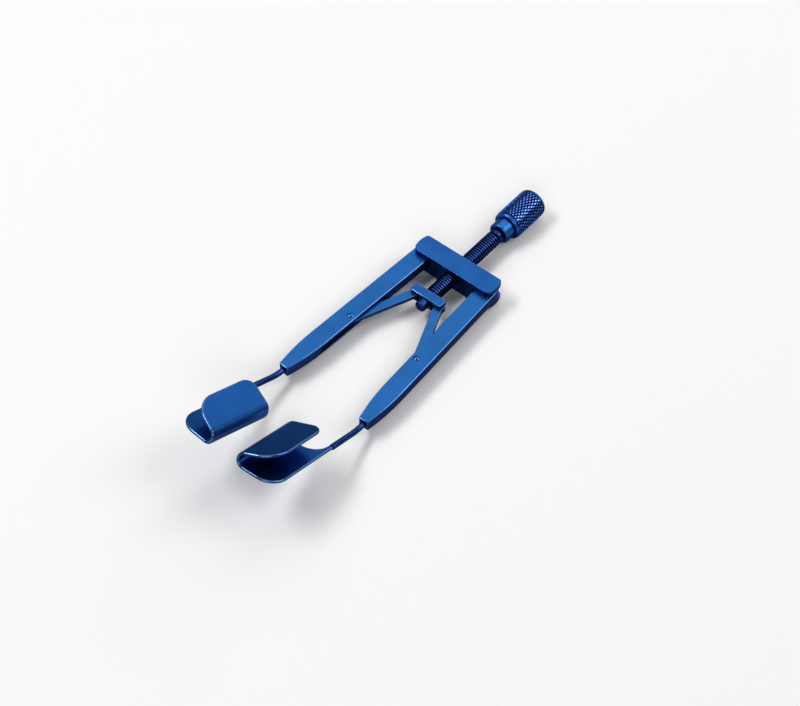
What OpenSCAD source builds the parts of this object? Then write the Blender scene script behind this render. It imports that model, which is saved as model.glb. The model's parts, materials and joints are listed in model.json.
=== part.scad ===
// Screw-adjusted eyelid speculum with solid curved blades, in blue anodised titanium.
// Two flat arms swing on a crossbar. The thumb screw pushes a yoke forwards or back,
// and two links between the yoke and the arms spread or close the blades.
// Millimetres. X runs across, -Y points to the blades, +Y to the knob, Z is up.
// The origin is the middle of the crossbar's underside.

/* [Crossbar] */
// Half length of the crossbar, measured at its corners
bar_half = 7.95; // [7.6:0.05:9]
// Bulge of the rounded ends
bar_bulge = 0.4; // [0.2:0.05:0.8]
// Depth from front to back
bar_depth = 3.9; // [3.6:0.1:5]
// Thickness of the top and the bottom plate
bar_plate = 1.0; // [0.8:0.05:1.5]

/* [Arms] */
// Half distance between the two arm pivots
pivot_half = 6.75; // [6.4:0.05:7]
// Outward lean of each arm in the stored pose, in degrees
arm_spread = 3; // [2.5:0.1:5]
// Length from the pivot to the tip
arm_length = 34.75; // [31:0.25:40]
// Width of the straight part
arm_width = 3.4; // [3.2:0.1:3.8]
// Thickness
arm_thick = 2.1; // [1.9:0.1:2.6]
// Length of the curved taper at the tip
taper_length = 8.25; // [6:0.25:9]
// Width of the tip
tip_width = 1.76; // [1.3:0.02:2]
// Radius of the saw that cuts the link slot in the inner side
saw_r = 10; // [8:0.5:12]
// Length of the slot at its full depth
slot_flat = 4; // [3.6:0.1:4.8]

/* [Links] */
// Width of a link
link_width = 1.7; // [1.6:0.05:1.8]
// Thickness of a link
link_thick = 0.8; // [0.6:0.05:1]

/* [Pins and rivets] */
// Radius of the pin that an arm swings on
pivot_pin_r = 0.7; // [0.5:0.05:0.8]
// Distance of the link rivet from the arm's pivot, along the arm
rivet_at = 19.55; // [18:0.05:21]
// Offset of the link rivet from the arm's centre line, towards the inside
rivet_inset = 0.66; // [0.5:0.02:0.8]
// Radius of the rivet's shank
rivet_r = 0.35; // [0.25:0.05:0.45]
// Radius of the rivet's head
rivet_head_r = 0.55; // [0.5:0.05:0.8]
// Height of the rivet's domed head
rivet_head_h = 0.22; // [0.15:0.01:0.4]
// Radius of the pin that joins a link to the yoke
yoke_pin_r = 0.35; // [0.25:0.05:0.4]
// Metal left over the blind end of a pivot pin
pivot_pin_cover = 0.35; // [0.2:0.05:0.6]
// Metal left over the blind end of a yoke pin
yoke_pin_cover = 0.25; // [0.2:0.05:0.4]

/* [Yoke] */
// Distance of the yoke's middle from the pivots, in the stored pose
yoke_reach = 7.82; // [7:0.02:8.5]
// Half length across
yoke_half = 3.29; // [3.2:0.01:3.6]
// Depth from front to back
yoke_depth = 1.82; // [1.8:0.02:2.2]
// Thickness of the top and the bottom plate
yoke_plate = 0.7; // [0.6:0.05:0.9]
// Half distance between the two yoke pins
yoke_pin_half = 2.35; // [2.3:0.05:2.6]
// Radius of the rounded corners
yoke_corner_r = 0.5; // [0.3:0.05:0.7]

/* [Thumb screw] */
// Outer radius of the thread
screw_r = 1.4; // [1.2:0.05:1.5]
// Thread pitch
thread_pitch = 0.5; // [0.4:0.05:0.7]
// Depth of the thread
thread_depth = 0.28; // [0.2:0.02:0.35]
// Length of thread behind the crossbar, in the stored pose
screw_back = 8.3; // [7:0.1:11]
// Radius of the journal that turns in the yoke
journal_r = 0.7; // [0.5:0.05:0.75]
// Radius of the plain neck next to the knob
neck_r = 1.2; // [1.05:0.05:1.3]
// Length of the plain neck
neck_length = 1.1; // [0.8:0.1:1.6]
// Radius of the spigot that is pressed into the knob
spigot_r = 1.0; // [0.7:0.05:1.1]
// Length of the spigot
spigot_length = 5.5; // [4:0.1:7]
// Radius of the end cap that holds the screw in the yoke
cap_r = 1.0; // [0.95:0.05:1.1]
// Length of the end cap
cap_length = 1.4; // [1.2:0.1:1.8]
// Thickness of the end cap's closed front
cap_front = 0.4; // [0.3:0.05:0.6]
// Chamfer on the end cap
cap_chamfer = 0.25; // [0.1:0.05:0.3]

/* [Knob] */
// Radius over the knurl
knob_r = 2.75; // [2.4:0.05:3.2]
// Length of the knurled barrel
knob_length = 8.1; // [7.5:0.1:10]
// Chamfer at both ends of the barrel
knob_chamfer = 0.45; // [0.2:0.05:0.7]
// Radius of the collar in front of the barrel
collar_r = 1.97; // [1.6:0.01:2.1]
// Length of the collar
collar_length = 2.2; // [1.5:0.1:3]
// Chamfer on the collar
collar_chamfer = 0.2; // [0.1:0.05:0.4]

/* [Wires] */
// Radius of the wire between an arm and its blade
wire_r = 0.5; // [0.4:0.02:0.55]
// Depth of the wire in the arm's tip
wire_seat = 3; // [2:0.1:4]
// Radius of the wire's upward bend
wire_bend_r = 7.75; // [6:0.25:10]
// Straight length after the bend, up to the blade's tail
wire_straight = 5.6; // [4:0.1:7]
// How much thinner the bending leaves the wire's radius
wire_thinning = 0.01; // [0.005:0.005:0.02]

/* [Blades] */
// Upward pitch of a blade, in degrees
blade_pitch = 21.5; // [15:0.5:28]
// Thickness of the sheet
sheet = 0.5; // [0.4:0.02:0.6]
// Outer radius of the rounded closed side
fold_r = 1.5; // [1.3:0.05:1.7]
// Length of each of the two plates
blade_length = 11.8; // [11:0.1:14]
// Width of the lower plate, from the centre of the fold to its outer edge
lower_width = 6.1; // [5.6:0.1:6.1]
// Width of the upper plate, from the centre of the fold to its outer edge
upper_width = 5.25; // [4.5:0.05:5.6]
// How much the bending draws in each face of the upper plate
plate_thinning = 0.01; // [0.005:0.005:0.02]
// Upward flare of the upper plate, in degrees
flare = 15.5; // [8:0.5:22]
// Start of the upper plate, from the end of the wire
upper_start = 1.8; // [1:0.1:3]
// How far the lower plate is set forwards of the upper one
plate_offset = 1.85; // [1.2:0.05:2.4]
// How far the upper plate's rear edge runs back between the fold and its outer corner
rear_rake = 0.65; // [0.3:0.05:1]
// How far the upper plate's front edge runs back between the fold and its outer corner
front_rake = 1.55; // [0.8:0.05:1.8]
// Radius of the upper plate's rear corner
upper_rear_r = 1.9; // [0.8:0.1:2.4]
// Radius of the upper plate's front corner
upper_front_r = 3; // [2:0.1:4]
// Radius of the lower plate's front corner
lower_front_r = 3.4; // [1.5:0.1:4]
// Width of the tail that joins the lower plate to the wire
tail_width = 0.8; // [0.6:0.05:0.9]
// Offset of the tail from the wire's centre line, towards the inside
tail_inset = 0.1; // [0:0.02:0.2]
// Radius of the fillet between the tail and the lower plate
tail_fillet_r = 3.2; // [1:0.1:3.4]

/* [Fits] */
// Radial running clearance of a part on its pin or journal
running_gap = 0.04; // [0.02:0.01:0.08]
// Radial gap of a pressed or brazed joint
fixed_gap = 0.01; // [0.005:0.005:0.02]
// Gap between the flat faces of an arm and the crossbar's plates
plate_gap = 0.05; // [0.03:0.01:0.1]
// Gap between the flat faces of a link and its slots
link_gap = 0.1; // [0.05:0.01:0.15]
// Gap around the round ends of the arms and links
swing_gap = 0.3; // [0.2:0.02:0.4]
// Gap between the link's round end and the floor of the arm's slot
slot_floor_gap = 0.16; // [0.1:0.02:0.3]
// Radial play of a link on its yoke pin
yoke_pin_play = 0.2; // [0.18:0.01:0.22]
// End play of the screw in the yoke
end_play = 0.05; // [0.02:0.01:0.1]
// Radial clearance of the thread in the crossbar
thread_gap = 0.05; // [0.03:0.01:0.1]

/* [Hidden] */
$fn = 96;
// Sides of the very large circles, and the steps of a rivet's dome
large_fn = 360;
dome_steps = 8;
// Overshoot of a cutting shape past the face that it cuts
cut = 1;
LEFT = -1;
RIGHT = 1;
// Heights, from the crossbar's underside
arm_room = arm_thick + 2 * plate_gap;
bar_height = 2 * bar_plate + arm_room;
mid_z = bar_height / 2;
link_room = link_thick + 2 * link_gap;
yoke_height = 2 * yoke_plate + link_room;
// Crossbar
bar_end_r = (pow(bar_depth / 2, 2) + pow(bar_bulge, 2)) / (2 * bar_bulge);
bar_reach = bar_half + bar_bulge;
bar_web_half = pivot_half - arm_width / 2 - swing_gap;
// Arm taper and slot, in the arm's own frame
taper_drop = (arm_width - tip_width) / 2;
taper_r = (pow(taper_length, 2) + pow(taper_drop, 2)) / (2 * taper_drop);
taper_y = taper_length - arm_length;
slot_floor = link_width / 2 + slot_floor_gap - rivet_inset;
// Link, from its rivet in the arm to its pin in the yoke
rivet_x = pivot_half + rivet_at * sin(arm_spread) - rivet_inset * cos(arm_spread);
rivet_y = -rivet_at * cos(arm_spread) - rivet_inset * sin(arm_spread);
link_run = rivet_x - yoke_pin_half;
link_rise = -yoke_reach - rivet_y;
link_length = sqrt(pow(link_run, 2) + pow(link_rise, 2));
link_angle = atan2(link_run, link_rise);
// Yoke and screw, along Y
yoke_web_half = yoke_pin_half - link_width / 2 - swing_gap;
yoke_back_y = yoke_depth / 2 - yoke_reach;
yoke_front_y = -yoke_depth / 2 - yoke_reach;
thread_front_y = yoke_back_y + end_play;
thread_back_y = bar_depth / 2 + screw_back;
collar_y = thread_back_y + neck_length;
barrel_y = collar_y + collar_length;
cap_back_y = yoke_front_y - end_play;
thread_turns = floor((thread_back_y - thread_front_y) / thread_pitch);
crest_flat = thread_pitch / 4;
root_flat = thread_pitch / 8;
// Lap of the wire's straight ends over its bend
wire_lap = 0.05;
// Blade section, in the blade's own frame at the end of the wire
fold_mid_r = fold_r - sheet / 2;
outer_x = tail_width / 2 - tail_inset;
tail_inner_x = outer_x - tail_width;
fold_x = outer_x - lower_width;
lower_start = upper_start + plate_offset;
// Ends of the fold at the upper plate, the plate's lap into it and the width over which its edges rake
upper_rear_y = -upper_start - rear_rake;
upper_front_y = -upper_start - blade_length - front_rake;
plate_lap = 0.1;
rake_width = upper_width - sheet;
// Colours of the anodised pieces
flat_blue = "#2c6ab3";
edge_blue = "#1d4a94";
dark_blue = "#16265a";
knob_blue = "#1546a2";

// Places the children at an arm's pivot, in the arm's frame: X outwards, -Y to the tip
module at_arm(side) {
    translate([side * pivot_half, 0, mid_z])
        mirror([side == LEFT ? 1 : 0, 0, 0])
            rotate([0, 0, arm_spread])
                children();
}

// Places the children at the end of the wire: -Y runs on along the blade
module at_blade(side) {
    at_arm(side)
        translate([0, -arm_length - wire_bend_r * sin(blade_pitch), wire_bend_r * (1 - cos(blade_pitch))])
            rotate([-blade_pitch, 0, 0])
                translate([0, -wire_straight, 0])
                    children();
}

// Turns a profile of [radius, y] points about the screw's axis
module turned(profile) {
    translate([0, 0, mid_z])
        rotate([-90, 0, 0])
            rotate_extrude()
                polygon(profile);
}

// A corner's waste outside a rounding of radius r. The corner is at the origin, one of its edges runs
// along -Y and the other along -X, turned towards -Y by the angle rake. On a raked corner the rounding
// is a hair larger, so that it crosses both edges at a small angle
module corner_waste(r, rake = 0) {
    middle = [-r, -r * (1 + sin(rake)) / cos(rake)];
    outwards = [-sin(rake), cos(rake)];
    difference() {
        polygon([middle, [cut, middle[1]], [cut, cut], middle + (r + cut) * outwards]);
        translate(middle)
            circle(rake == 0 ? r : 1.01 * r);
    }
}

module bar_half_plan() {
    intersection() {
        translate([0, -bar_depth / 2])
            square([bar_reach, bar_depth]);
        translate([bar_reach - bar_end_r, 0])
            circle(bar_end_r);
    }
}

module crossbar() {
    slot_length = bar_reach - bar_web_half + cut;
    color(flat_blue)
        difference() {
            linear_extrude(bar_height)
                union() {
                    bar_half_plan();
                    mirror([1, 0])
                        bar_half_plan();
                }
            for (side = [LEFT, RIGHT]) {
                translate([side * (bar_web_half + slot_length / 2), 0, mid_z])
                    cube([slot_length, bar_depth + 2 * cut, arm_room], center = true);
                translate([side * pivot_half, 0, -cut])
                    cylinder(r = pivot_pin_r + fixed_gap, h = bar_height - pivot_pin_cover + cut);
            }
            translate([0, 0, mid_z])
                rotate([90, 0, 0])
                    cylinder(r = screw_r + thread_gap, h = bar_depth + 2 * cut, center = true);
        }
}

module arm_pivot_pin(side) {
    color(dark_blue)
        translate([side * pivot_half, 0, 0])
            cylinder(r = pivot_pin_r, h = bar_height - pivot_pin_cover);
}

// The lens between two large circles that draw the arm's edges in to its tip
module taper_lens() {
    intersection() {
        translate([arm_width / 2 - taper_r, taper_y])
            circle(taper_r, $fn = large_fn);
        translate([taper_r - arm_width / 2, taper_y])
            circle(taper_r, $fn = large_fn);
    }
}

module arm_plan() {
    circle(arm_width / 2);
    translate([-arm_width / 2, taper_y])
        square([arm_width, -taper_y]);
    intersection() {
        translate([-arm_width / 2, -arm_length])
            square([arm_width, taper_length + cut]);
        taper_lens();
    }
}

// Slot as a disc saw leaves it, with a curved run-out at both ends
module slot_plan() {
    for (end = [-1, 1])
        translate([slot_floor - saw_r, end * slot_flat / 2 - rivet_at])
            circle(saw_r, $fn = large_fn);
    translate([slot_floor - saw_r, -slot_flat / 2 - rivet_at])
        square([saw_r, slot_flat]);
}

module arm(side) {
    color(flat_blue)
        at_arm(side)
            difference() {
                linear_extrude(arm_thick, center = true)
                    arm_plan();
                linear_extrude(link_room, center = true)
                    slot_plan();
                cylinder(r = pivot_pin_r + running_gap, h = arm_thick + 2 * cut, center = true);
                translate([-rivet_inset, -rivet_at, 0])
                    cylinder(r = rivet_r + fixed_gap, h = arm_thick + 2 * cut, center = true);
                translate([0, wire_seat - arm_length, 0])
                    rotate([90, 0, 0])
                        cylinder(r = wire_r + fixed_gap, h = wire_seat + cut);
            }
}

module link_rivet(side) {
    dome_r = (pow(rivet_head_r, 2) + pow(rivet_head_h, 2)) / (2 * rivet_head_h);
    dome_angle = asin(rivet_head_r / dome_r);
    face = arm_thick / 2;
    dome = [for (i = [0 : dome_steps])
        let (a = dome_angle * (1 - i / dome_steps))
            [dome_r * sin(a), face + rivet_head_h - dome_r * (1 - cos(a))]];
    half = concat([[rivet_r, 0], [rivet_r, face]], dome);
    color(edge_blue)
        at_arm(side)
            translate([-rivet_inset, -rivet_at, 0])
                rotate_extrude()
                    polygon(concat(half, [for (i = [len(half) - 1 : -1 : 1]) [half[i][0], -half[i][1]]]));
}

module link_plan() {
    for (y = [0, link_length])
        translate([0, y])
            circle(link_width / 2);
    translate([-link_width / 2, 0])
        square([link_width, link_length]);
}

module link(side) {
    color(flat_blue)
        translate([side * rivet_x, rivet_y, mid_z])
            rotate([0, 0, side * link_angle])
                difference() {
                    linear_extrude(link_thick, center = true)
                        link_plan();
                    cylinder(r = rivet_r + running_gap, h = link_thick + 2 * cut, center = true);
                    translate([0, link_length, 0])
                        cylinder(r = yoke_pin_r + yoke_pin_play, h = link_thick + 2 * cut, center = true);
                }
}

module yoke_plan() {
    difference() {
        square([2 * yoke_half, yoke_depth], center = true);
        for (side = [LEFT, RIGHT], end = [-1, 1])
            mirror([side == LEFT ? 1 : 0, 0])
                mirror([0, end == -1 ? 1 : 0])
                    translate([yoke_half, yoke_depth / 2])
                        corner_waste(yoke_corner_r);
    }
}

module yoke() {
    slot_length = yoke_half - yoke_web_half + cut;
    color(flat_blue)
        translate([0, -yoke_reach, mid_z])
            difference() {
                linear_extrude(yoke_height, center = true)
                    yoke_plan();
                for (side = [LEFT, RIGHT]) {
                    translate([side * (yoke_web_half + slot_length / 2), 0, 0])
                        cube([slot_length, yoke_depth + 2 * cut, link_room], center = true);
                    translate([side * yoke_pin_half, 0, -yoke_height / 2 - cut])
                        cylinder(r = yoke_pin_r + fixed_gap, h = yoke_height - yoke_pin_cover + cut);
                }
                rotate([90, 0, 0])
                    cylinder(r = journal_r + running_gap, h = yoke_depth + 2 * cut, center = true);
            }
}

module yoke_pin(side) {
    color(dark_blue)
        translate([side * yoke_pin_half, -yoke_reach, mid_z - yoke_height / 2])
            cylinder(r = yoke_pin_r, h = yoke_height - yoke_pin_cover);
}

module screw_rod() {
    thread = [for (i = [0 : thread_turns - 1], k = [0 : 3])
        let (y = thread_back_y - i * thread_pitch, flank = (thread_pitch - crest_flat - root_flat) / 2)
            [screw_r - (k < 2 ? 0 : thread_depth),
             y - [0, crest_flat, crest_flat + flank, thread_pitch - flank][k]]];
    color(dark_blue)
        turned(concat(
            [[0, cap_back_y - cap_length + cap_front], [0, collar_y + spigot_length]],
            [[spigot_r, collar_y + spigot_length], [spigot_r, collar_y]],
            [[neck_r, collar_y], [neck_r, thread_back_y]],
            thread,
            [[screw_r - thread_depth, thread_front_y], [journal_r, thread_front_y]],
            [[journal_r, cap_back_y - cap_length + cap_front]]
        ));
}

module screw_end_cap() {
    bore_r = journal_r + fixed_gap;
    front_y = cap_back_y - cap_length;
    color(edge_blue)
        turned([
            [0, front_y], [cap_r - cap_chamfer, front_y], [cap_r, front_y + cap_chamfer],
            [cap_r, cap_back_y], [bore_r, cap_back_y],
            [bore_r, front_y + cap_front], [0, front_y + cap_front]
        ]);
}

module thumb_knob() {
    bore_r = spigot_r + fixed_gap;
    back_y = barrel_y + knob_length;
    color(knob_blue)
        turned([
            [bore_r, collar_y], [collar_r - collar_chamfer, collar_y], [collar_r, collar_y + collar_chamfer],
            [collar_r, barrel_y], [knob_r - knob_chamfer, barrel_y], [knob_r, barrel_y + knob_chamfer],
            [knob_r, back_y - knob_chamfer], [knob_r - knob_chamfer, back_y],
            [0, back_y], [0, collar_y + spigot_length], [bore_r, collar_y + spigot_length]
        ]);
}

// The straight ends run a little way over the bend, which the bending has drawn thinner
module wire(side) {
    color(edge_blue) {
        at_arm(side) {
            translate([0, -arm_length - wire_lap, 0])
                rotate([-90, 0, 0])
                    cylinder(r = wire_r, h = wire_seat + wire_lap);
            translate([0, -arm_length, wire_bend_r])
                rotate([0, 90, 0])
                    mirror([0, 1, 0])
                        rotate_extrude(angle = blade_pitch)
                            translate([wire_bend_r, 0])
                                circle(wire_r - wire_thinning);
        }
        at_blade(side)
            rotate([-90, 0, 0])
                cylinder(r = wire_r, h = wire_straight + wire_lap);
    }
}

// Plan of the upper plate: X outwards from the fold's centre, -Y to the front. Its edges leave the
// fold square to it and then run back to the outer corners
module upper_plan() {
    rear_y = upper_rear_y - plate_thinning;
    front_y = upper_front_y + plate_thinning;
    difference() {
        polygon([
            [-plate_lap, rear_y], [sheet, rear_y], [upper_width, -upper_start],
            [upper_width, -upper_start - blade_length], [sheet, front_y], [-plate_lap, front_y]
        ]);
        translate([upper_width, -upper_start])
            corner_waste(upper_rear_r, atan2(rear_rake + plate_thinning, rake_width));
        translate([upper_width, -upper_start - blade_length])
            mirror([0, 1])
                corner_waste(upper_front_r, -atan2(front_rake - plate_thinning, rake_width));
    }
}

// Plan of the lower plate with the tail that runs back to the wire
module lower_plan() {
    difference() {
        translate([fold_x, -lower_start - blade_length])
            square([lower_width, blade_length]);
        translate([outer_x, -lower_start - blade_length])
            mirror([0, 1])
                corner_waste(lower_front_r);
    }
    translate([tail_inner_x, -lower_start - cut])
        square([tail_width, lower_start + cut]);
    translate([tail_inner_x - tail_fillet_r, -lower_start - cut])
        difference() {
            square([tail_fillet_r + tail_width / 2, tail_fillet_r + cut]);
            translate([0, tail_fillet_r + cut])
                circle(tail_fillet_r);
        }
}

// Half ring of the fold, from the lower plate round to the flared upper plate
module fold_section() {
    span = 2 * fold_r;
    intersection() {
        difference() {
            circle(fold_r);
            circle(fold_r - sheet);
        }
        translate([-span, -span])
            square([span, 2 * span]);
        rotate(flare)
            translate([-span, -span])
                square([span, 2 * span]);
    }
}

// Side outline of the fold, whose ends stand upright at both plates and lean back between them
module fold_side() {
    low_z = fold_mid_r - fold_r / 2;
    high_z = fold_mid_r + fold_r / 2;
    top_z = 2 * fold_r + cut;
    polygon([
        [-lower_start, -cut], [-lower_start, low_z], [upper_rear_y, high_z], [upper_rear_y, top_z],
        [upper_front_y, top_z], [upper_front_y, high_z],
        [-lower_start - blade_length, low_z], [-lower_start - blade_length, -cut]
    ]);
}

module blade(side) {
    fold_run = lower_start + blade_length + cut;
    color(flat_blue)
        at_blade(side) {
            linear_extrude(sheet, center = true)
                lower_plan();
            translate([fold_x, 0, fold_mid_r])
                rotate([0, -flare, 0])
                    translate([0, 0, fold_mid_r])
                        linear_extrude(sheet - 2 * plate_thinning, center = true)
                            upper_plan();
            intersection() {
                translate([fold_x, 0, fold_mid_r])
                    rotate([90, 0, 0])
                        linear_extrude(fold_run)
                            fold_section();
                translate([fold_x - fold_r - cut, 0, 0])
                    rotate([90, 0, 90])
                        linear_extrude(fold_r + 2 * cut)
                            fold_side();
            }
        }
}

crossbar();
arm_pivot_pin(LEFT);  // left_arm_pivot_pin
arm_pivot_pin(RIGHT);  // right_arm_pivot_pin
arm(LEFT);  // left_arm
arm(RIGHT);  // right_arm
link_rivet(LEFT);  // left_link_rivet
link_rivet(RIGHT);  // right_link_rivet
link(LEFT);  // left_link
link(RIGHT);  // right_link
yoke();
yoke_pin(LEFT);  // left_yoke_pin
yoke_pin(RIGHT);  // right_yoke_pin
screw_rod();
screw_end_cap();
thumb_knob();
wire(LEFT);  // left_wire
wire(RIGHT);  // right_wire
blade(LEFT);  // left_blade
blade(RIGHT);  // right_blade
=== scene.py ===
# Looks of a screw-adjusted eyelid speculum in blue anodised titanium. Every piece is modelled in
# millimetres at its own zero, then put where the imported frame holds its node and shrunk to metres.
import json
import math
import bmesh
import bpy
from mathutils import Matrix, Vector


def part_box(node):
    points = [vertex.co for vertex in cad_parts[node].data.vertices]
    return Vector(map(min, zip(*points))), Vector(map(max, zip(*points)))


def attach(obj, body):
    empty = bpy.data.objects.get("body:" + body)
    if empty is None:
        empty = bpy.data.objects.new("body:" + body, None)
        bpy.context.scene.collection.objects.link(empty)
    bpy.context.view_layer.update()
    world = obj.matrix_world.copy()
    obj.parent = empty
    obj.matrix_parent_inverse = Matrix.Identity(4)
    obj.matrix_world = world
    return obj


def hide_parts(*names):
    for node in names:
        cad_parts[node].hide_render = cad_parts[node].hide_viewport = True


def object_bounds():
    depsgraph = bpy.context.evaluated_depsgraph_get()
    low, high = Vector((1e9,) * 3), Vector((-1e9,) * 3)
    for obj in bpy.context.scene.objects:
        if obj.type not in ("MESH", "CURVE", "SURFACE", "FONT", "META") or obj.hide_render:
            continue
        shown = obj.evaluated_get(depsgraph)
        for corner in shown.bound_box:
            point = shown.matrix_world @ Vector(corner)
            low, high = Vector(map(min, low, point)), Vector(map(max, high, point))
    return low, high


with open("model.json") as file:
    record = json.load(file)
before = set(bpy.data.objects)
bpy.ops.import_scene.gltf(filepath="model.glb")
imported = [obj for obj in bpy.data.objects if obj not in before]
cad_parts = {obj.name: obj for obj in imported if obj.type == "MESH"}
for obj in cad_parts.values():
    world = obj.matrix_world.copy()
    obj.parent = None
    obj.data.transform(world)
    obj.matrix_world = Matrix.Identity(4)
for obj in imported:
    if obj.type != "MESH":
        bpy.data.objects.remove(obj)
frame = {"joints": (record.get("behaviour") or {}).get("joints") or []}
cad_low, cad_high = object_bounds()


# Crossbar: one milled titanium block with bulged ends, slotted at both ends for the arms and
# tapped through its middle for the screw. It is tumbled, which rounds its edges, and then anodised
# blue. Its top is left bare.
def only(piece):
    """Makes piece the one selected and active object."""
    if bpy.context.mode != "OBJECT":
        bpy.ops.object.mode_set(mode="OBJECT")
    bpy.ops.object.select_all(action="DESELECT")
    piece.select_set(True)
    bpy.context.view_layer.objects.active = piece


def begin(name, materials=()):
    """Names the primitive that was just added, dresses it, and opens it with all of it selected."""
    piece = bpy.context.active_object
    piece.name = piece.data.name = name
    for material in materials:
        piece.data.materials.append(material)
    only(piece)
    bpy.ops.object.transform_apply(location=True, rotation=True, scale=True)
    bpy.ops.object.mode_set(mode="EDIT")
    bpy.ops.mesh.select_all(action="SELECT")
    return piece


def blank(name, materials, width, length, middle):
    """Starts a piece as a flat rectangle, and opens it with all of it selected."""
    bpy.ops.mesh.primitive_plane_add(size=1, location=middle)
    piece = begin(name, materials)
    bpy.ops.transform.resize(value=(width, length, 1), center_override=middle)
    return piece


def pick(kind, wanted):
    """Selects the points, edges or faces whose middle is wanted, and nothing else."""
    bpy.ops.mesh.select_mode(type=kind)
    bpy.ops.mesh.select_all(action="DESELECT")
    mesh = bmesh.from_edit_mesh(bpy.context.edit_object.data)
    for item in {"VERT": mesh.verts, "EDGE": mesh.edges, "FACE": mesh.faces}[kind]:
        corners = [item] if kind == "VERT" else item.verts
        if wanted(sum((v.co for v in corners), Vector()) / len(corners)):
            item.select_set(True)
    bmesh.update_edit_mesh(bpy.context.edit_object.data)


def move_points(shift):
    """Moves each point of the mesh in hand by shift(point)."""
    mesh = bmesh.from_edit_mesh(bpy.context.edit_object.data)
    for v in mesh.verts:
        v.co += Vector(shift(v.co))
    bmesh.update_edit_mesh(bpy.context.edit_object.data)


def extrude(x=0.0, y=0.0, z=0.0):
    """Extrudes what is selected by that much."""
    bpy.ops.mesh.extrude_region_move(TRANSFORM_OT_translate={"value": (x, y, z)})


def round_corners(radius, wanted, segments=8):
    """Rounds the wanted corners of a flat outline."""
    pick("VERT", wanted)
    bpy.ops.mesh.bevel(offset=radius, segments=segments, affect="VERTICES", clamp_overlap=False)


def close_up():
    """Merges doubles, turns every face of the mesh in hand outwards and ends its editing."""
    bpy.ops.mesh.select_all(action="SELECT")
    bpy.ops.mesh.remove_doubles(threshold=weld)
    bpy.ops.mesh.normals_make_consistent(inside=False)
    bpy.ops.object.mode_set(mode="OBJECT")


def modify(piece, kind, **settings):
    """Adds a modifier with these settings, and applies it."""
    only(piece)
    modifier = piece.modifiers.new(kind, kind)
    for key, value in settings.items():
        setattr(modifier, key, value)
    bpy.ops.object.modifier_apply(modifier=modifier.name)


def combine(piece, tool, operation="DIFFERENCE"):
    """Cuts the tool out of a piece, or joins or crosses the two, and takes the tool away."""
    modify(piece, "BOOLEAN", operation=operation, object=tool, solver="EXACT")
    bpy.data.objects.remove(tool)


def drill(piece, radius, start, end, sides=48):
    """Drills a straight round hole between two points."""
    start, end = Vector(start), Vector(end)
    turn = (end - start).to_track_quat("Z", "Y").to_euler()
    bpy.ops.mesh.primitive_cylinder_add(vertices=sides, radius=radius, depth=(end - start).length,
                                        location=(start + end) / 2, rotation=turn)
    combine(piece, bpy.context.active_object)


def mill(piece, low, high):
    """Mills away the block between two corners."""
    low, high = Vector(low), Vector(high)
    bpy.ops.mesh.primitive_cube_add(size=1, location=(low + high) / 2)
    cutter = bpy.context.active_object
    cutter.scale = high - low
    combine(piece, cutter)


def ease(piece, width, segments=3):
    """Rounds the sharp edges, and gives the roundings the piece's second material."""
    modify(piece, "BEVEL", width=width, segments=segments, limit_method="ANGLE",
           angle_limit=sharp_turn, material=1)


def settle(piece, place, body, node):
    """Puts a piece in its place, shrinks it to metres, shades its flats flat and its rounds smooth,
    and lets it stand for its node."""
    only(piece)
    piece.matrix_world = Matrix.Scale(MM, 4) @ place
    bpy.ops.object.transform_apply(location=True, rotation=True, scale=True)
    if place.determinant() < 0:
        bpy.ops.object.mode_set(mode="EDIT")
        bpy.ops.mesh.select_all(action="SELECT")
        bpy.ops.mesh.normals_make_consistent(inside=False)
        bpy.ops.object.mode_set(mode="OBJECT")
    bpy.ops.object.shade_smooth_by_angle(angle=smooth_turn)
    modify(piece, "WEIGHTED_NORMAL", keep_sharp=True, weight=100)
    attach(piece, body)
    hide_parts(node)


def linear(colour):
    """Linear RGBA of an sRGB hex colour."""
    parts = [int(colour[i:i + 2], 16) / 255 for i in (1, 3, 5)]
    return [c / 12.92 if c <= 0.04045 else ((c + 0.055) / 1.055) ** 2.4 for c in parts] + [1.0]


def add_node(tree, kind, settings, links):
    """Adds a shader node, sets its properties and sockets, and links its inputs."""
    node = tree.nodes.new("ShaderNode" + kind)
    for key, value in settings.items():
        if isinstance(key, str) and hasattr(node, key):
            setattr(node, key, value)
        else:
            node.inputs[key].default_value = value
    for key, socket in links.items():
        tree.links.new(socket, node.inputs[key])
    return node


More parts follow.
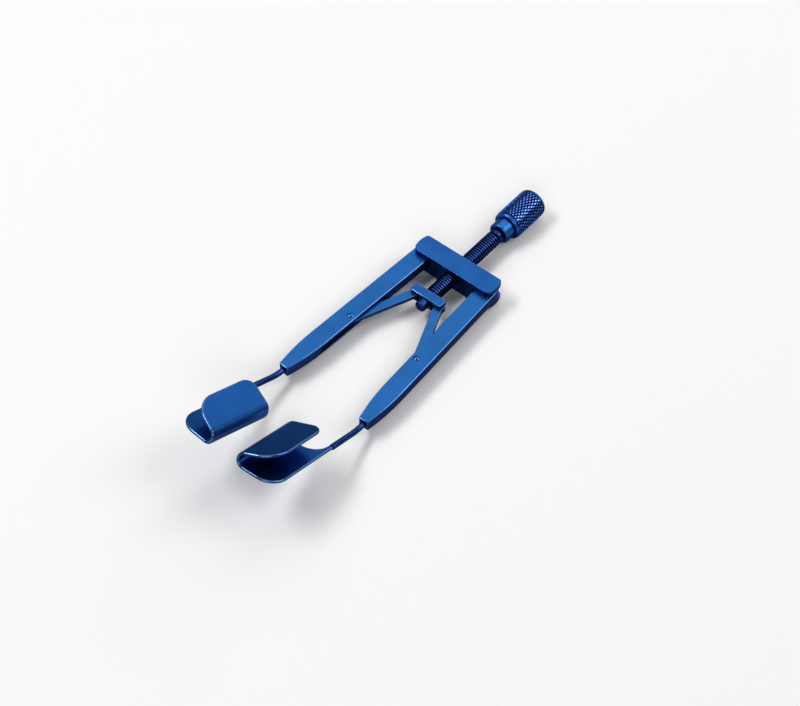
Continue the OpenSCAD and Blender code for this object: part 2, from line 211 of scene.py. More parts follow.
def anodised_titanium(name, film, deep, flank, grain, drift, roughness, relief, uneven=0.06,
                      stretch=(1, 1, 1)):
    """Titanium under a clear oxide film, whose thickness alone makes the blue. Where the film is a
    little thicker the blue deepens, in clouds of drift mm. Faces that look sideways or down are
    painted towards navy, a painted shade. The grain that the finishing left,
    grain mm wide and relief mm deep, breaks the reflections into a satin sheen, uneven in its gloss."""
    material = bpy.data.materials.new(name)
    material.use_nodes = True
    tree = material.node_tree
    shader = tree.nodes["Principled BSDF"]
    shader.inputs["Metallic"].default_value = 1.0
    shader.inputs["Specular Tint"].default_value = linear(glancing)
    place = add_node(tree, "TexCoord", {}, {})
    along = add_node(tree, "Mapping", {"Scale": stretch}, {"Vector": place.outputs["Object"]})
    fine = add_node(tree, "TexNoise", {"Scale": 1 / (grain * MM), "Detail": 2.0},
                    {"Vector": along.outputs["Vector"]})
    cloud = add_node(tree, "TexNoise", {"Scale": 1 / (drift * MM), "Detail": 3.0},
                     {"Vector": place.outputs["Object"]})
    both = add_node(tree, "Math", {"operation": "MULTIPLY_ADD", 1: grain_in_blue * uneven},
                    {0: fine.outputs["Fac"], 2: cloud.outputs["Fac"]})
    share = add_node(tree, "MapRange", {"From Min": deep_below, "From Max": film_above},
                     {"Value": both.outputs[0]})
    blue = add_node(tree, "Mix", {"data_type": "RGBA", 6: linear(deep), 7: linear(film)},
                    {0: share.outputs["Result"]})
    # Painted shade: faces that look sideways or down turn from the blue to the flank navy.
    facing = add_node(tree, "SeparateXYZ", {}, {0: place.outputs["Normal"]})
    upwards = add_node(tree, "MapRange", {"interpolation_type": "SMOOTHSTEP", "From Min": painted_shade_from,
                                          "From Max": painted_shade_to}, {"Value": facing.outputs["Z"]})
    blue_with_painted_shade = add_node(tree, "Mix", {"data_type": "RGBA", 6: linear(flank)},
                         {0: upwards.outputs["Result"], 7: blue.outputs[2]})
    gloss = add_node(tree, "MapRange", {"From Min": grain_low, "From Max": grain_high,
                                        "To Min": roughness - uneven, "To Max": roughness + uneven},
                     {"Value": fine.outputs["Fac"]})
    bump = add_node(tree, "Bump", {"Strength": 1.0, "Distance": relief * MM},
                    {"Height": fine.outputs["Fac"]})
    tree.links.new(blue_with_painted_shade.outputs[2], shader.inputs["Base Color"])
    tree.links.new(gloss.outputs["Result"], shader.inputs["Roughness"])
    tree.links.new(bump.outputs["Normal"], shader.inputs["Normal"])
    return material


MM = 0.001
# Points closer than weld are one point, and hair is the slack in picking points by their place.
weld = 1e-4
hair = 1e-3
# Edges that turn by more than sharp_turn are rounded, and by less than smooth_turn shaded smooth.
sharp_turn = math.radians(38)
smooth_turn = math.radians(30)
joints = {joint["name"]: Vector(joint.get("pos_m", (0, 0, 0))) / MM for joint in frame["joints"]}
bar_low, bar_high = (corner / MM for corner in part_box("crossbar"))
bar_bulge = 0.4
bulge_cuts = 11
bar_half = bar_high.x - bar_bulge
bar_depth = bar_high.y - bar_low.y
bar_height = bar_high.z - bar_low.z
bar_plate = 1.0
bar_front_r = 0.8
bar_rear_r = 0.35
bar_ease = 0.14
mid_z = bar_height / 2
# A little under the width of the solid arms, which keeps the mesh inside the solids' box.
arm_width = 3.398
swing_gap = 0.3
pivot_x = joints["right_arm_swing"].x
bar_web_half = pivot_x - arm_width / 2 - swing_gap
thread_r = 1.4
thread_gap = 0.05
pivot_pin_r = 0.7
pivot_pin_cover = 0.35
pivot_pin_top = bar_height - pivot_pin_cover
# Pieces pressed together keep a gap of fit, and cutters reach past what they cut by past.
fit = 0.01
past = 1.0

# The film's tint at glancing angles, and how far a face looks up where the painted shade's navy gives
# way to blue.
glancing = "#bfb7b0"
painted_shade_from = 0.0
painted_shade_to = 0.7
# How much of the grain shows in the blue, and the noise between which blue and gloss vary.
grain_in_blue = 6
deep_below = 0.45
film_above = 0.95
grain_low = 0.3
grain_high = 0.7
# Tumbled flats keep a fine, even satin. Their rounded edges are smoother, and painted a lighter blue as
# a painted highlight.
tumbled_blue = anodised_titanium("tumbled_anodised_titanium", "#2862a8", "#205294", "#1b3268",
                                 grain=0.12, drift=4.0, roughness=0.36, relief=0.002)
painted_highlight_edge = anodised_titanium("edge_painted_highlight_titanium", "#5a8cc8", "#4274b4", "#263a78",
                                grain=0.2, drift=2.0, roughness=0.24, relief=0.001)

bpy.ops.object.select_all(action="DESELECT")
crossbar = blank("crossbar_milled", (tumbled_blue, painted_highlight_edge), 2 * bar_half, bar_depth, (0, 0, 0))
round_corners(bar_front_r, lambda at: at.y < bar_low.y + hair and abs(at.x) > bar_half - hair)
round_corners(bar_rear_r, lambda at: at.y > bar_high.y - hair and abs(at.x) > bar_half - hair)
pick("EDGE", lambda at: abs(at.x) > bar_half - hair)
bpy.ops.mesh.subdivide(number_cuts=bulge_cuts)
move_points(lambda at: (math.copysign(bar_bulge * (1 - (2 * at.y / bar_depth) ** 2), at.x), 0, 0))
bpy.ops.mesh.select_all(action="SELECT")
extrude(z=bar_height)
close_up()
for side in (-1, 1):
    near, far = sorted((side * bar_web_half, side * (bar_high.x + past)))
    mill(crossbar, (near, bar_low.y - past, bar_plate),
         (far, bar_high.y + past, bar_height - bar_plate))
    drill(crossbar, pivot_pin_r + fit, (side * pivot_x, 0, -past), (side * pivot_x, 0, pivot_pin_top))
drill(crossbar, thread_r + thread_gap, (0, bar_low.y - past, mid_z), (0, bar_high.y + past, mid_z),
      sides=64)
ease(crossbar, bar_ease)
settle(crossbar, Matrix.Identity(4), "frame", "crossbar")


# Arm pivot pins: two ground titanium dowels, pressed into the crossbar from below, on which the
# arms swing. Only their lower ends show, flush with the crossbar's underside.
def turned(name, profile, materials, sides=64):
    """A round bar turned along Z: a disc extruded and resized from ring to ring of (radius, z)."""
    radius, z = profile[0]
    bpy.ops.mesh.primitive_circle_add(vertices=sides, radius=radius, fill_type="NGON",
                                      location=(0, 0, z))
    piece = begin(name, materials)
    bpy.ops.mesh.select_mode(type="FACE")
    bpy.ops.mesh.select_all(action="SELECT")
    for next_radius, next_z in profile[1:]:
        extrude(z=next_z - z)
        grow = next_radius / radius
        bpy.ops.transform.resize(value=(grow, grow, 1), center_override=(0, 0, next_z))
        radius, z = next_radius, next_z
    close_up()
    return piece


def rounding(centre_r, centre_z, radius, start, end, steps=6):
    """Rings of (radius, z) round a turned edge, between two angles in degrees from outwards."""
    turns = [math.radians(start + (end - start) * i / steps) for i in range(steps + 1)]
    return [(centre_r + radius * math.cos(a), centre_z + radius * math.sin(a)) for a in turns]


def settle_both(piece, place, body, node):
    """Settles a right-hand piece, and a mirrored copy of it with its own mesh on the left."""
    mirror = Matrix.Scale(-1, 4, (1, 0, 0))
    left = piece.copy()
    left.data = piece.data.copy()
    left.name = left.data.name = piece.name.replace("right", "left")
    bpy.context.scene.collection.objects.link(left)
    settle(piece, place, body.format("right"), node.format("right"))
    settle(left, mirror @ place, body.format("left"), node.format("left"))


pin_ease = 0.1
# Centreless grinding leaves a dark, rather bright surface with fine scratches round the pin.
ground_navy = anodised_titanium("ground_anodised_titanium", "#274a98", "#1c3272", "#1c2c62",
                                grain=0.08, drift=1.0, roughness=0.3, relief=0.001,
                                stretch=(0.2, 0.2, 1))
pivot_pin = turned("pivot_pin_right",
                   rounding(pivot_pin_r - pin_ease, pin_ease, pin_ease, -90, 0)
                   + rounding(pivot_pin_r - pin_ease, pivot_pin_top - pin_ease, pin_ease, 0, 90),
                   [ground_navy])
settle_both(pivot_pin, Matrix.Translation((pivot_x, 0, 0)), "frame", "{}_arm_pivot_pin")

# Arms: two flat titanium bars with a round end on the pivot and a curved taper to the tip. A disc
# saw has cut a slot for the link into the inner side. They are satin-finished lengthwise on a belt,
# then anodised.
arm_length = 34.75
arm_thick = 2.1
arm_spread = 3.0
arm_ease = 0.15
taper_length = 8.25
tip_width = 1.76
taper_steps = 14
saw_r = 10.0
saw_sides = 180
slot_flat = 4.0
slot_floor = 0.35
link_thick = 0.8
link_side_gap = 0.1
link_room = link_thick + 2 * link_side_gap
running_gap = 0.04
rivet_at = 19.55
rivet_inset = 0.66
rivet_r = 0.35
wire_r = 0.5
wire_seat = 3.0
taper_y = taper_length - arm_length
taper_drop = (arm_width - tip_width) / 2
taper_r = (taper_length ** 2 + taper_drop ** 2) / (2 * taper_drop)
at_arm = Matrix.Translation((pivot_x, 0, mid_z)) @ Matrix.Rotation(math.radians(arm_spread), 4, "Z")


def taper(at):
    """How far a point of the arm's edge is drawn in beside the taper's arc."""
    if at.y > taper_y:
        return (0, 0, 0)
    drawn_in = taper_r - math.sqrt(taper_r ** 2 - (at.y - taper_y) ** 2)
    return (-math.copysign(drawn_in, at.x), 0, 0)


# A satin belt leaves fine lines along the arm, so its sheen is drawn out across it.
satin_blue = anodised_titanium("satin_anodised_titanium", "#2a66aa", "#245b9a", "#1b3268",
                               grain=0.1, drift=5.0, roughness=0.36, relief=0.002,
                               stretch=(1, 0.25, 1))
arm_back = arm_width / 2
arm = blank("arm_right", (satin_blue, painted_highlight_edge), arm_width, arm_length + arm_back,
            (0, (arm_back - arm_length) / 2, -arm_thick / 2))
for step in range(taper_steps):
    cut_y = taper_y - taper_length * step / taper_steps
    bpy.ops.mesh.select_all(action="SELECT")
    bpy.ops.mesh.bisect(plane_co=(0, cut_y, 0), plane_no=(0, 1, 0))
round_corners(arm_width / 2, lambda at: at.y > arm_back - hair, segments=20)
move_points(taper)
bpy.ops.mesh.select_all(action="SELECT")
extrude(z=arm_thick)
close_up()
ease(arm, arm_ease)
bpy.ops.mesh.primitive_cylinder_add(vertices=saw_sides, radius=saw_r, depth=link_room)
saw = begin("saw")
move_points(lambda at: (slot_floor - saw_r, math.copysign(slot_flat / 2, at.y) - rivet_at, 0))
bpy.ops.object.mode_set(mode="OBJECT")
combine(arm, saw)
drill(arm, pivot_pin_r + running_gap, (0, 0, -arm_thick), (0, 0, arm_thick))
drill(arm, rivet_r + fit, (-rivet_inset, -rivet_at, -arm_thick), (-rivet_inset, -rivet_at, arm_thick))
drill(arm, wire_r + fit, (0, -arm_length - past, 0), (0, wire_seat - arm_length, 0))
settle_both(arm, at_arm, "{}_arm_unit", "{}_arm")

# Link rivets: small titanium rivets through the arms, on which the links turn. Both heads are
# domed with a snap and polished by it.
rivet_head_r = 0.55
rivet_head_h = 0.22
dome_r = (rivet_head_r ** 2 + rivet_head_h ** 2) / (2 * rivet_head_h)
dome_rise = math.degrees(math.acos(rivet_head_r / dome_r))
dome_z = arm_thick / 2 + rivet_head_h - dome_r
# Degrees from outwards at which a rounding has all but turned to face along the axis.
near_axis = 88
# The snap leaves the domes smoother and a little brighter than the arms round them.
snapped_blue = anodised_titanium("snapped_anodised_titanium", "#3878c0", "#2c66aa", "#1c2c62",
                                 grain=0.15, drift=1.0, roughness=0.28, relief=0.001)
rivet = turned("rivet_right",
               rounding(0, -dome_z, dome_r, -near_axis, -dome_rise, steps=10)
               + [(rivet_r, -arm_thick / 2), (rivet_r, arm_thick / 2)]
               + rounding(0, dome_z, dome_r, dome_rise, near_axis, steps=10),
               [snapped_blue], sides=48)
settle_both(rivet, at_arm @ Matrix.Translation((-rivet_inset, -rivet_at, 0)),
            "{}_arm_unit", "{}_link_rivet")

# Links: two flat titanium straps with round ends, blanked from sheet and tumbled. Each turns on
# a rivet in its arm's slot and on a pin in the yoke.
link_width = 1.7
link_ease = 0.18
rivet_spot = joints["right_link_pivot"]
pin_low, pin_high = (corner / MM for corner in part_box("right_yoke_pin"))
pin_spot = (pin_low + pin_high) / 2
link_run = rivet_spot.x - pin_spot.x
link_rise = pin_spot.y - rivet_spot.y
link_length = math.hypot(link_run, link_rise)
yoke_pin_r = (pin_high.x - pin_low.x) / 2
yoke_pin_play = 0.2
# Tumbled sheet has the same satin as the crossbar, a shade lighter.
tumbled_sheet = anodised_titanium("tumbled_titanium_sheet", "#2b66a9", "#255b9a", "#1b3268",
                                  grain=0.12, drift=4.0, roughness=0.36, relief=0.002)
link = blank("link_right", (tumbled_sheet, painted_highlight_edge), link_width, link_length + link_width,
             (0, link_length / 2, -link_thick / 2))
round_corners(link_width / 2, lambda at: True, segments=14)
bpy.ops.mesh.select_all(action="SELECT")
extrude(z=link_thick)
close_up()
ease(link, link_ease)
drill(link, rivet_r + running_gap, (0, 0, -link_thick), (0, 0, link_thick))
drill(link, yoke_pin_r + yoke_pin_play, (0, link_length, -link_thick), (0, link_length, link_thick))
settle_both(link, Matrix.Translation((rivet_spot.x, rivet_spot.y, mid_z))
            @ Matrix.Rotation(math.atan2(link_run, link_rise), 4, "Z"),
            "{}_link_bar", "{}_link")

# Yoke: a small milled titanium block that rides on the screw's end and pushes both links. It is
# slotted at both ends for the links' eyes, and tumbled and anodised like the crossbar.
yoke_low, yoke_high = (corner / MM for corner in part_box("yoke"))
yoke_size = yoke_high - yoke_low
yoke_corner_r = 0.5
yoke_ease = 0.16
yoke_web_half = pin_spot.x - link_width / 2 - swing_gap
journal_r = 0.7
yoke = blank("yoke_milled", (tumbled_blue, painted_highlight_edge), yoke_size.x, yoke_size.y,
             (0, pin_spot.y, yoke_low.z))
round_corners(yoke_corner_r, lambda at: True)
bpy.ops.mesh.select_all(action="SELECT")
extrude(z=yoke_size.z)
close_up()
ease(yoke, yoke_ease)
for side in (-1, 1):
    near, far = sorted((side * yoke_web_half, side * (yoke_high.x + past)))
    mill(yoke, (near, yoke_low.y - past, mid_z - link_room / 2),
         (far, yoke_high.y + past, mid_z + link_room / 2))
    drill(yoke, yoke_pin_r + fit, (side * pin_spot.x, pin_spot.y, yoke_low.z - past),
          (side * pin_spot.x, pin_spot.y, pin_high.z))
drill(yoke, journal_r + running_gap, (0, yoke_low.y - past, mid_z), (0, yoke_high.y + past, mid_z))
settle(yoke, Matrix.Identity(4), "yoke_slider", "yoke")

# Yoke pins: two thin ground titanium dowels, pressed into the yoke from below through the links'
# eyes. Only their lower ends show.
yoke_pin_ease = 0.06
yoke_pin_length = pin_high.z - pin_low.z
eased_r = yoke_pin_r - yoke_pin_ease
yoke_pin = turned("yoke_pin_right",
                  rounding(eased_r, yoke_pin_ease, yoke_pin_ease, -90, 0)
                  + rounding(eased_r, yoke_pin_length - yoke_pin_ease, yoke_pin_ease, 0, 90),
                  [ground_navy], sides=40)
settle_both(yoke_pin, Matrix.Translation((pin_spot.x, pin_spot.y, pin_low.z)),
            "yoke_slider", "{}_yoke_pin")

# Screw: a titanium rod with a fine right-hand thread, cut on a lathe. A thin journal at its front
# turns in the yoke, and a spigot at its back is pressed into the knob.
knob_low, knob_high = (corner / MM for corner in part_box("thumb_knob"))
rod_low, rod_high = (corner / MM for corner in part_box("screw_rod"))
thread_pitch = 0.5
thread_depth = 0.28
thread_steps = 40
neck_r = 1.36
neck_length = 1.1
neck_ease = 0.25
undercut_r = 1.1
undercut = 0.22
spigot_r = 1.0
yoke_gap = 0.05
journal_chamfer = 0.05
crest_slack = 0.02
# The helix is longer than the thread by the spare turns, and the envelope trims it.
spare_turns = 3
helix_weld = 1e-3
thread_front = yoke_high.y + yoke_gap
thread_back = knob_low.y - neck_length
lead_in = 0.3
# An odd number of sides keeps the corners of the thread's envelope off those of the thread.
envelope_sides = 97
root_r = thread_r - thread_depth
crest_flat = thread_pitch / 4
root_flat = thread_pitch / 8
flank = (thread_pitch - crest_flat - root_flat) / 2
thread_turns = math.ceil((thread_back - thread_front) / thread_pitch) + spare_turns
along_screw = Matrix.Translation((0, 0, mid_z)) @ Matrix.Rotation(math.radians(-90), 4, "X")
# The thread tool leaves bright turning lines, and the film over them is the darkest on the part.
turned_navy = anodised_titanium("turned_anodised_titanium", "#24407e", "#1a2f66", "#14214e",
                                grain=0.06, drift=2.0, roughness=0.27, relief=0.001,
                                stretch=(0.15, 1, 0.15))
# The crests are painted a lighter blue, a painted highlight along the thread, with a little more gloss.
crest_painted_highlight = anodised_titanium("rubbed_thread_crest", "#3a5698", "#304a8a", "#1c2c60",
                                 grain=0.06, drift=2.0, roughness=0.25, relief=0.001,
                                 stretch=(0.15, 1, 0.15))
helix_start = thread_front - spare_turns / 2 * thread_pitch
bpy.ops.mesh.primitive_plane_add(size=1, location=(root_r, 0, helix_start))
screw = begin("threaded_rod", [turned_navy, crest_painted_highlight])
bpy.ops.mesh.select_mode(type="VERT")
bpy.ops.mesh.select_all(action="SELECT")
bpy.ops.mesh.merge(type="CENTER")
extrude(z=root_flat)
extrude(x=thread_depth, z=flank)
extrude(z=crest_flat)
extrude(x=-thread_depth, z=flank)
bpy.ops.object.mode_set(mode="OBJECT")
modify(screw, "SCREW", axis="Z", angle=2 * math.pi, screw_offset=thread_pitch, iterations=thread_turns,
       steps=thread_steps, render_steps=thread_steps)
bpy.ops.object.mode_set(mode="EDIT")
bpy.ops.mesh.select_all(action="SELECT")
bpy.ops.mesh.remove_doubles(threshold=helix_weld)
# The crests take the painted highlight.
pick("FACE", lambda at: math.hypot(at.x, at.y) > thread_r - crest_slack)
screw.active_material_index = 1
bpy.ops.object.material_slot_assign()
for below in (True, False):
    bpy.ops.mesh.select_mode(type="EDGE")
    bpy.ops.mesh.select_all(action="DESELECT")
    mesh = bmesh.from_edit_mesh(screw.data)
    for edge in mesh.edges:
        if edge.is_boundary and (edge.verts[0].co.z < 0) == below:
            edge.select_set(True)
    bmesh.update_edit_mesh(screw.data)
    extrude()
    bpy.ops.mesh.merge(type="CENTER")
close_up()
envelope = turned("thread_envelope", [
    (root_r - fit, thread_front), (thread_r + fit, thread_front + lead_in),
    (thread_r + fit, thread_back - lead_in), (root_r - fit, thread_back)],
    [turned_navy], sides=envelope_sides)
combine(screw, envelope, "INTERSECT")
journal = turned("journal", [(journal_r - journal_chamfer, rod_low.y),
                             (journal_r, rod_low.y + journal_chamfer),
                             (journal_r, thread_front + thread_pitch)], [turned_navy])
combine(screw, journal, "UNION")
# The neck starts just inside the thread's end, so that no two of their faces share a plane.
neck_front = thread_back - 2 * fit
neck = turned("neck", [(undercut_r, thread_back - thread_pitch), (undercut_r, neck_front)]
              + rounding(neck_r - neck_ease, neck_front + neck_ease, neck_ease, -90, 0)
              + [(neck_r, knob_low.y - 2 * undercut), (undercut_r, knob_low.y - undercut),
                 (undercut_r, knob_low.y), (spigot_r, knob_low.y), (spigot_r, rod_high.y)],
              [turned_navy])
combine(screw, neck, "UNION")
settle(screw, along_screw, "thumb_screw", "screw_rod")

# End cap: a small turned titanium cup, pressed on the journal in front of the yoke to keep the
# screw in it.
cap_low, cap_high = (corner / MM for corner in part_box("screw_end_cap"))
cap_r = (cap_high.x - cap_low.x) / 2
cap_chamfer = 0.25
cap_ease = 0.1
cap_front = 0.4
# Turned and polished, it keeps more of the blue than the rod.
turned_blue = anodised_titanium("turned_blue_titanium", "#244c92", "#1b3d7c", "#18285c",
                                grain=0.08, drift=2.0, roughness=0.4, relief=0.001,
                                stretch=(0.2, 1, 0.2))
end_cap = turned("end_cap_turned",
                 [(cap_r - cap_chamfer - cap_ease, cap_low.y)]
                 + rounding(cap_r - cap_chamfer, cap_low.y + cap_chamfer, cap_chamfer, -90, 0)
                 + rounding(cap_r - cap_ease, cap_high.y - cap_ease, cap_ease, 0, 90, steps=4),
                 [turned_blue])
drill(end_cap, journal_r + fit, (0, 0, cap_low.y + cap_front), (0, 0, cap_high.y + past))
settle(end_cap, along_screw, "thumb_screw", "screw_end_cap")

# Thumb knob: a turned titanium barrel with a diamond knurl, a smooth band in front of it and a
# narrower collar, pressed on the screw's spigot.
knob_r = (knob_high.x - knob_low.x) / 2
knob_length = knob_high.y - knob_low.y
collar_r = 1.97
collar_length = 2.2
collar_ease = 0.35
band_drop = 0.1
band_length = 0.6
band_ease = 0.5
band_r = knob_r - band_drop
rear_length = 0.6
bed_drop = 0.28
bed_chamfer = 0.05
groove_drop = 0.22
knurl_front = collar_length + band_length
knurl_back = knob_length - rear_length
knurl_bed_r = knob_r - bed_drop
knurl_groove_r = knob_r - groove_drop
knurl_starts = 28
knurl_rows = 7
knurl_inset = 0.14
knurl_rise = 0.19
knurl_turn = math.radians(1.3)
rear_r = 0.6
# The turned collar and band are the brightest blue on the part, with a soft sheen.
collar_blue = anodised_titanium("collar_anodised_titanium", "#346fba", "#2b62ac", "#162e6c",
                                grain=0.15, drift=2.5, roughness=0.36, relief=0.001)
# Knurled titanium: pressed facets, smooth and saturated, that flash one by one in the light.
# Their tips are painted near-white, a painted highlight.
knurled_blue = anodised_titanium("knurled_anodised_titanium", "#265cb6", "#1e4ea6", "#102058",
                                 grain=0.15, drift=2.5, roughness=0.26, relief=0.001)
knurl_tip_highlight = anodised_titanium("knurl_tip_painted_highlight", "#8cb4ea", "#6c9ade", "#10225a",
                               grain=0.15, drift=2.5, roughness=0.22, relief=0.001)
knob = turned("knob_knurled",
              rounding(collar_r - collar_ease, collar_ease, collar_ease, -90, 0)
              + [(collar_r, collar_length)]
              + rounding(band_r - band_ease, collar_length + band_ease, band_ease, -90, 0)
              + [(band_r, knurl_front - bed_chamfer), (knurl_bed_r, knurl_front + bed_chamfer)]
              + [(knurl_bed_r, knurl_back - bed_chamfer), (band_r, knurl_back + bed_chamfer)]
              + rounding(band_r - rear_r, knob_length - rear_r, rear_r, 0, near_axis, steps=8),
              [collar_blue, knurl_tip_highlight, knurled_blue], sides=96)
knurl_length = knurl_back - knurl_front
knurl_mid = (knurl_front + knurl_back) / 2
bpy.ops.mesh.primitive_cylinder_add(vertices=knurl_starts, radius=knurl_groove_r, depth=knurl_length,
                                    end_fill_type="NOTHING", location=(0, 0, knurl_mid))
knurl = begin("knurl", [collar_blue, knurl_tip_highlight, knurled_blue])
for row in range(1, knurl_rows):
    cut_z = knurl_front + knurl_length * row / knurl_rows
    bpy.ops.mesh.select_all(action="SELECT")
    bpy.ops.mesh.bisect(plane_co=(0, 0, cut_z), plane_no=(0, 0, 1))
bpy.ops.mesh.select_all(action="SELECT")
bpy.ops.mesh.poke()
half_start = math.pi / knurl_starts
pick("VERT", lambda at: math.hypot(at.x, at.y) < knurl_groove_r * (1 + math.cos(half_start)) / 2)
grow = 1 / math.cos(half_start)
bpy.ops.transform.resize(value=(grow, grow, 1), center_override=(0, 0, 0))
bpy.ops.mesh.select_mode(type="EDGE")
bpy.ops.mesh.select_all(action="DESELECT")
mesh = bmesh.from_edit_mesh(knurl.data)
for edge in mesh.edges:
    run = edge.verts[1].co - edge.verts[0].co
    upright = math.hypot(run.x, run.y) < weld
    level = abs(run.z) < weld
    edge.select_set((upright or level) and not edge.is_boundary)
bmesh.update_edit_mesh(knurl.data)
bpy.ops.mesh.dissolve_edges(use_verts=False)
bpy.ops.mesh.select_mode(type="FACE")
bpy.ops.mesh.select_all(action="SELECT")
knurl.active_material_index = 2
bpy.ops.object.material_slot_assign()
bpy.ops.mesh.inset(thickness=knurl_inset, depth=knurl_rise, use_individual=True)
# The raised tips take the painted highlight.
knurl.active_material_index = 1
bpy.ops.object.material_slot_assign()
for end_z in (knurl_front, knurl_back):
    pick("EDGE", lambda at: abs(at.z - end_z) < weld)
    bpy.ops.mesh.edge_face_add()
bpy.ops.mesh.select_all(action="SELECT")
bpy.ops.transform.rotate(value=knurl_turn, orient_axis="Z", center_override=(0, 0, 0))
close_up()
combine(knob, knurl, "UNION")
drill(knob, spigot_r + fit, (0, 0, -past), (0, 0, rod_high.y - knob_low.y), sides=64)
settle(knob, Matrix.Translation((0, knob_low.y, 0)) @ along_screw,
       "thumb_screw", "thumb_knob")

# Wires: two lengths of drawn titanium wire that carry the blades. They are brazed into the arms'
# tips, bent upwards and brazed to the blades' tails.
wire_bend_r = 7.75
wire_straight = 5.6
wire_sides = 40
wire_ease = 0.12
blade_pitch = math.radians(21.5)
bend_steps = 12
# Drawing leaves the wire glossy, with faint lines along it.
drawn_navy = anodised_titanium("drawn_anodised_titanium", "#2a4c92", "#213f80", "#141f50",
                               grain=0.08, drift=3.0, roughness=0.2, relief=0.0005, uneven=0.03,
                               stretch=(1, 0.1, 0.3))
bpy.ops.mesh.primitive_circle_add(vertices=wire_sides, radius=wire_r, fill_type="NGON",
                                  rotation=(math.pi / 2, 0, 0), location=(0, wire_seat - arm_length, 0))
wire = begin("wire_right", [drawn_navy, drawn_navy])
bpy.ops.mesh.select_mode(type="FACE")
extrude(y=-wire_seat)
bpy.ops.mesh.spin(steps=bend_steps, angle=blade_pitch, center=(0, -arm_length, wire_bend_r),
                  axis=(1, 0, 0))
extrude(y=-wire_straight * math.cos(blade_pitch), z=wire_straight * math.sin(blade_pitch))
close_up()
ease(wire, wire_ease)
settle_both(wire, at_arm, "{}_arm_unit", "{}_wire")

# Blades: each is one piece of titanium sheet, cut out, folded round a mandrel into a trough for
# the lid and polished. Its tail runs back to the wire.
sheet = 0.5
fold_r = 1.5
blade_length = 11.8
lower_width = 6.1
upper_width = 5.25
flare = math.radians(15.5)
upper_start = 1.8
plate_offset = 1.85
upper_rear_r = 1.9
upper_front_r = 3.0
lower_front_r = 3.4
tail_width = 0.8
tail_inset = 0.1
tail_fillet_r = 3.2
tail_lap = 0.3
fold_steps = 18
flat_turn = math.radians(1)
rim_ease = 0.2
fold_mid_r = fold_r - sheet / 2
outer_x = tail_width / 2 - tail_inset
tail_x = outer_x - tail_width
fold_x = outer_x - lower_width
lower_start = upper_start + plate_offset
lower_end = lower_start + blade_length
fold_turn = math.pi - flare
# Polished sheet: glossy, with faint streaks across the fold where the mandrel dragged.
polished_blue = anodised_titanium("polished_titanium_sheet", "#245ca6", "#1f5298", "#2c4488",
                                  grain=0.12, drift=6.0, roughness=0.3, relief=0.0002, uneven=0.012,
                                  stretch=(0.2, 1, 0.2))
# Its cut edge is rolled round and glossy, painted pale on top as a painted highlight and navy below as
# a painted shade.
rim_painted_highlight = anodised_titanium("sheet_rim_painted_highlight", "#6088be", "#5078b0", "#15265a",
                               grain=0.2, drift=3.0, roughness=0.15, relief=0.0002, uneven=0.02)


def lean_back(at):
    """How far a point of the fold and the upper plate is set back from the lower plate. The rear edge
    leans back early, in the fold, and the front edge late, towards its outer corner."""
    if at.z < weld:
        return (0, 0, 0)
    on_plate = (at.x - fold_x) * math.cos(flare) + (at.z - fold_mid_r) * math.sin(flare)
    turn = fold_turn if on_plate > 0 else math.atan2(fold_x - at.x, fold_mid_r - at.z)
    share = (turn * fold_mid_r + max(on_plate, 0)) / (fold_turn * fold_mid_r + upper_width)
    front = (-lower_start - at.y) / blade_length
    return (0, plate_offset * ((1 - front) * (1 - (1 - share) ** 2) + front * share ** 2), 0)


blade = blank("blade_right", [polished_blue, rim_painted_highlight], lower_width, blade_length,
              ((fold_x + outer_x) / 2, -(lower_start + lower_end) / 2, 0))
bpy.ops.mesh.bisect(plane_co=(tail_x, 0, 0), plane_no=(1, 0, 0))
pick("EDGE", lambda at: at.x > tail_x + hair and at.x < outer_x - hair and at.y > -lower_start - hair)
extrude(y=lower_start + tail_lap)
bpy.ops.mesh.select_all(action="SELECT")
bpy.ops.mesh.dissolve_limited(angle_limit=flat_turn)
round_corners(lower_front_r, lambda at: at.x > outer_x - hair and at.y < -lower_end + hair, segments=12)
round_corners(tail_fillet_r, lambda at: (at - Vector((tail_x, -lower_start, 0))).length < hair,
              segments=10)
pick("EDGE", lambda at: at.x < fold_x + hair)
bpy.ops.mesh.spin(steps=fold_steps, angle=-fold_turn, center=(fold_x, 0, fold_mid_r), axis=(0, 1, 0))
extrude(x=upper_width * math.cos(flare), z=upper_width * math.sin(flare))
top_x = fold_x + upper_width * math.cos(flare) - fold_mid_r * math.sin(flare)
for corner_y, corner_r in ((-lower_start, upper_rear_r), (-lower_end, upper_front_r)):
    round_corners(corner_r, lambda at: at.x > top_x - hair and at.z > 2 * fold_r
                  and abs(at.y - corner_y) < hair, segments=12)
move_points(lean_back)
close_up()
modify(blade, "SOLIDIFY", thickness=sheet, offset=0.0, use_even_offset=True)
ease(blade, rim_ease, segments=4)
at_blade = (at_arm
            @ Matrix.Translation((0, -arm_length - wire_bend_r * math.sin(blade_pitch),
                                  wire_bend_r * (1 - math.cos(blade_pitch))))
            @ Matrix.Rotation(-blade_pitch, 4, "X")
            @ Matrix.Translation((0, -wire_straight, 0)))
settle_both(blade, at_blade, "{}_arm_unit", "{}_blade")

# Floor: a plain sheet of matt paper under the lowest point of the part, white near it and grey
# further out, so that the sides of the part mirror a darker room.
floor_size = 4.0
white_reach = 0.13
grey_reach = 0.4
near_white = "#f8f8f8"
far_grey = "#787878"
paper_roughness = 0.9
paper_gloss = 0.1
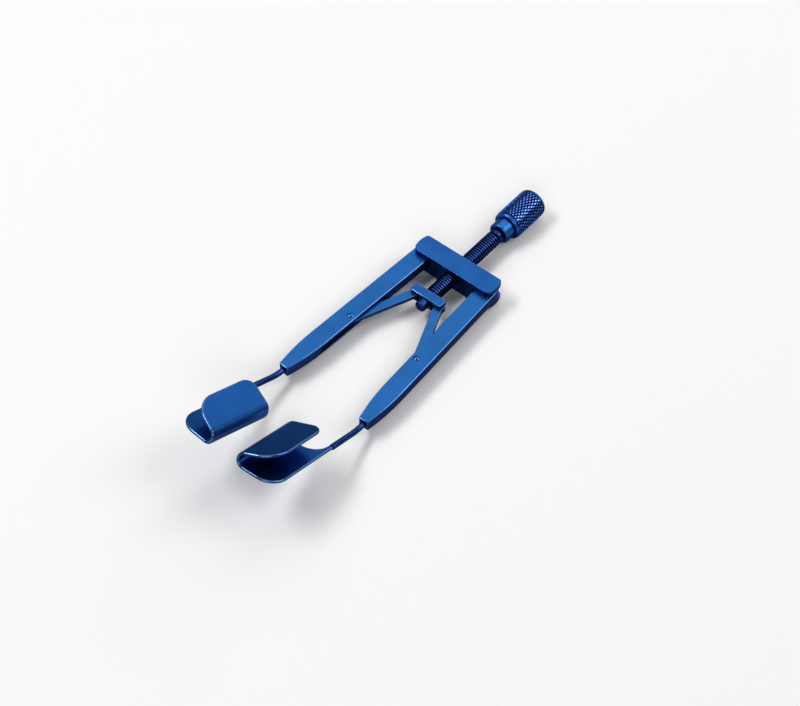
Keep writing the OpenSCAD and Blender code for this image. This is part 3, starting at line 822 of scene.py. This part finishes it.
# Matt paper scatters the light evenly and has hardly any gloss.
white_paper = bpy.data.materials.new("matt_white_paper")
white_paper.use_nodes = True
tree = white_paper.node_tree
paper = tree.nodes["Principled BSDF"]
paper.inputs["Roughness"].default_value = paper_roughness
paper.inputs["Specular IOR Level"].default_value = paper_gloss
spot = add_node(tree, "TexCoord", {}, {})
reach = add_node(tree, "VectorMath", {"operation": "LENGTH"}, {0: spot.outputs["Object"]})
fade = add_node(tree, "MapRange", {"interpolation_type": "SMOOTHSTEP", "From Min": white_reach,
                                   "From Max": grey_reach}, {"Value": reach.outputs["Value"]})
shade = add_node(tree, "Mix", {"data_type": "RGBA", 6: linear(near_white), 7: linear(far_grey)},
                 {0: fade.outputs["Result"]})
tree.links.new(shade.outputs[2], paper.inputs["Base Color"])
bpy.ops.mesh.primitive_plane_add(size=floor_size, location=(0, 0, cad_low.z))
floor = bpy.context.active_object
floor.name = "floor"
floor.data.materials.append(white_paper)

# Studio light: a large soft box high behind the part to the left, which its flats mirror, a low one
# behind it for the tilted blades, a box on either side and one in front for the edges, and a dim,
# even room. Radiance is in units of paper white.
middle = (cad_low + cad_high) / 2
lamp_distance = 0.6
room_light = (0.12, 0.12, 0.126, 1)
room = bpy.data.worlds.new("room")
room.use_nodes = True
room.node_tree.nodes["Background"].inputs["Color"].default_value = room_light
bpy.context.scene.world = room


def soft_box(name, azimuth, elevation, width, height, radiance):
    """A rectangular lamp that faces the part, seen from it at an azimuth from +Y towards -X."""
    a, e = math.radians(azimuth), math.radians(elevation)
    towards = Vector((-math.sin(a) * math.cos(e), math.cos(a) * math.cos(e), math.sin(e)))
    lamp = bpy.data.lights.new(name, "AREA")
    lamp.shape = "RECTANGLE"
    lamp.size, lamp.size_y = width, height
    lamp.energy = radiance * math.pi * width * height
    box = bpy.data.objects.new(name, lamp)
    box.location = middle + towards * lamp_distance
    box.rotation_euler = towards.to_track_quat("Z", "Y").to_euler()
    bpy.context.scene.collection.objects.link(box)


soft_box("key_soft_box", azimuth=34, elevation=54, width=0.62, height=0.52, radiance=1.2)
soft_box("low_back_soft_box", azimuth=6, elevation=20, width=0.43, height=0.18, radiance=1.45)
soft_box("right_soft_box", azimuth=-44, elevation=44, width=0.26, height=0.36, radiance=3.4)
soft_box("left_strip", azimuth=122, elevation=56, width=0.36, height=0.12, radiance=12.0)
soft_box("front_soft_box", azimuth=215, elevation=33, width=0.45, height=0.16, radiance=4.0)

# Camera: a long lens that looks down on the part from its front right. Its place and lens are
# fitted to the part's corners in the photograph.
view_azimuth = math.radians(39.53)
view_elevation = math.radians(51.46)
view_roll = math.radians(0.33)
view_target = Vector((3.783, -19.778, 2.1)) * MM
view_distance = 305.2 * MM
view_lens = 83.5
view_sensor = 36.0
view_nearest = 0.01
turn = (Matrix.Rotation(view_azimuth, 4, "Z") @ Matrix.Rotation(math.pi / 2 - view_elevation, 4, "X")
        @ Matrix.Rotation(view_roll, 4, "Z"))
camera = bpy.data.objects.new("camera", bpy.data.cameras.new("camera"))
camera.data.lens = view_lens
camera.data.sensor_width = view_sensor
camera.data.clip_start = view_nearest
camera.matrix_world = Matrix.Translation(view_target) @ turn @ Matrix.Translation((0, 0, view_distance))
bpy.context.scene.collection.objects.link(camera)
bpy.context.scene.camera = camera
bpy.context.scene.view_settings.view_transform = "Standard"

# The view layer is brought up to date.
bpy.context.view_layer.update()
